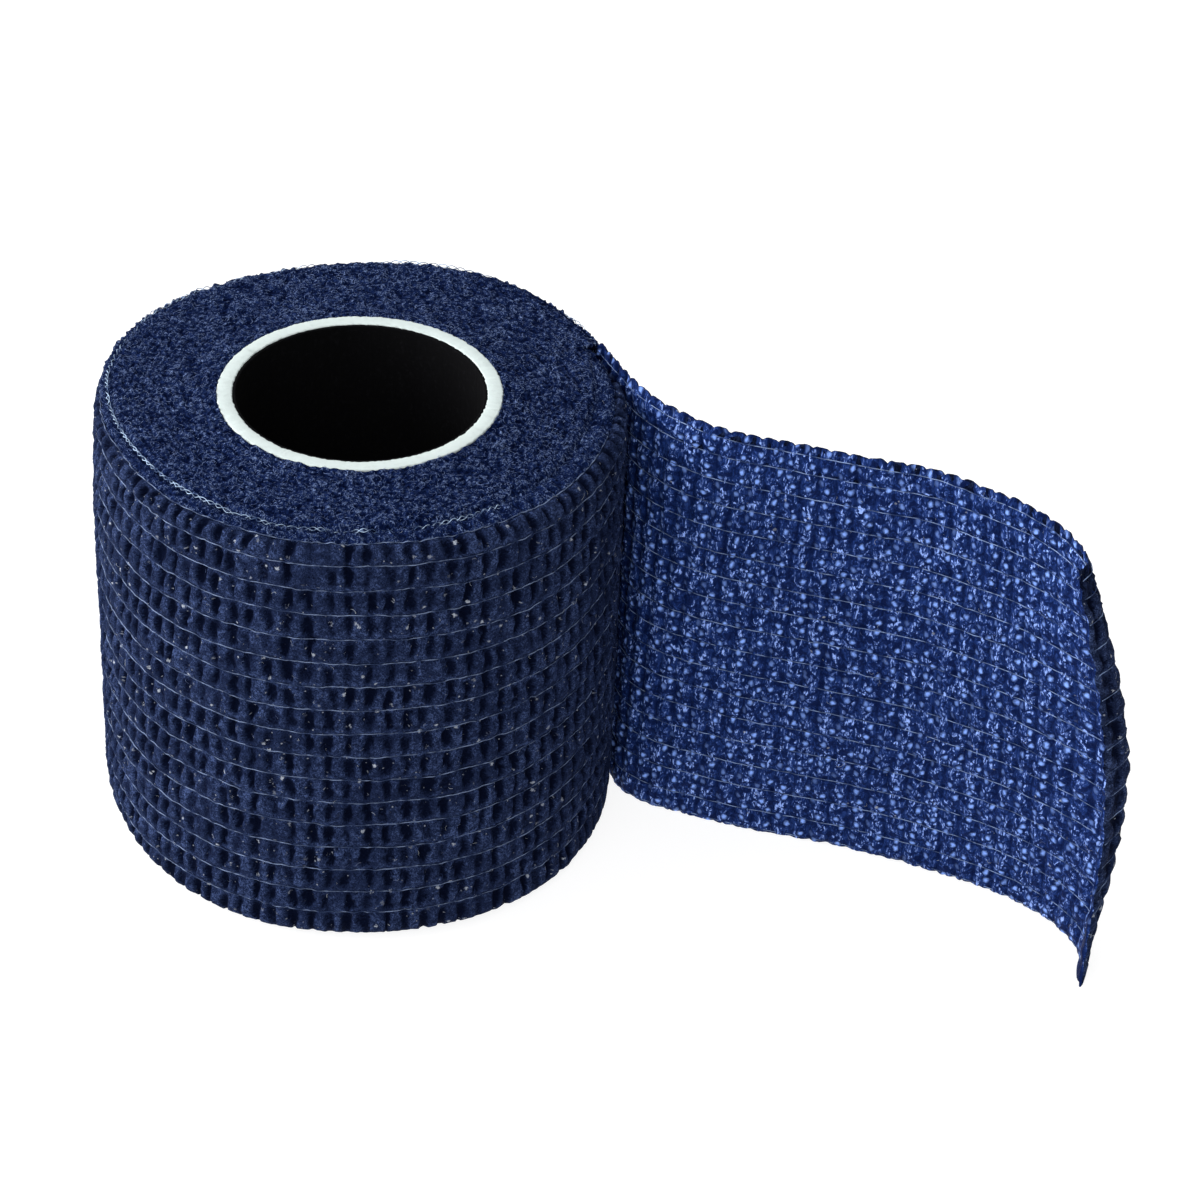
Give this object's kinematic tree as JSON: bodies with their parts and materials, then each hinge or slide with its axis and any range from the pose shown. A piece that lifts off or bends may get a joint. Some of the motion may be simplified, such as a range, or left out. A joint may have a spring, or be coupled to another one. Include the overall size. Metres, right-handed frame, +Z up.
{
  "type": "cohesive bandage roll",
  "caption": "Crêped elastic bandage wound on a paperboard core, standing on end, with its loose end pulled off to one side and curled at the cut.",
  "frame": {"origin": "middle of the footprint, on the surface that the roll stands on", "axes": "+Z up along the roll's axis, +X towards the cut of the loose end, +Y away from the viewer"},
  "size_m": [0.1064, 0.0638, 0.0508],
  "materials": {
    "cloth": "crêped navy nonwoven with fine grey elastic threads, matt",
    "paperboard": "white paperboard, cut ends, matt",
    "black_paper": "black paper, matt"
  },
  "bodies": {
    "root": {"core_tube": "paperboard", "core_inner_ply": "black_paper", "wound_cloth": "cloth", "loose_end": "cloth"}
  },
  "joints": []
}
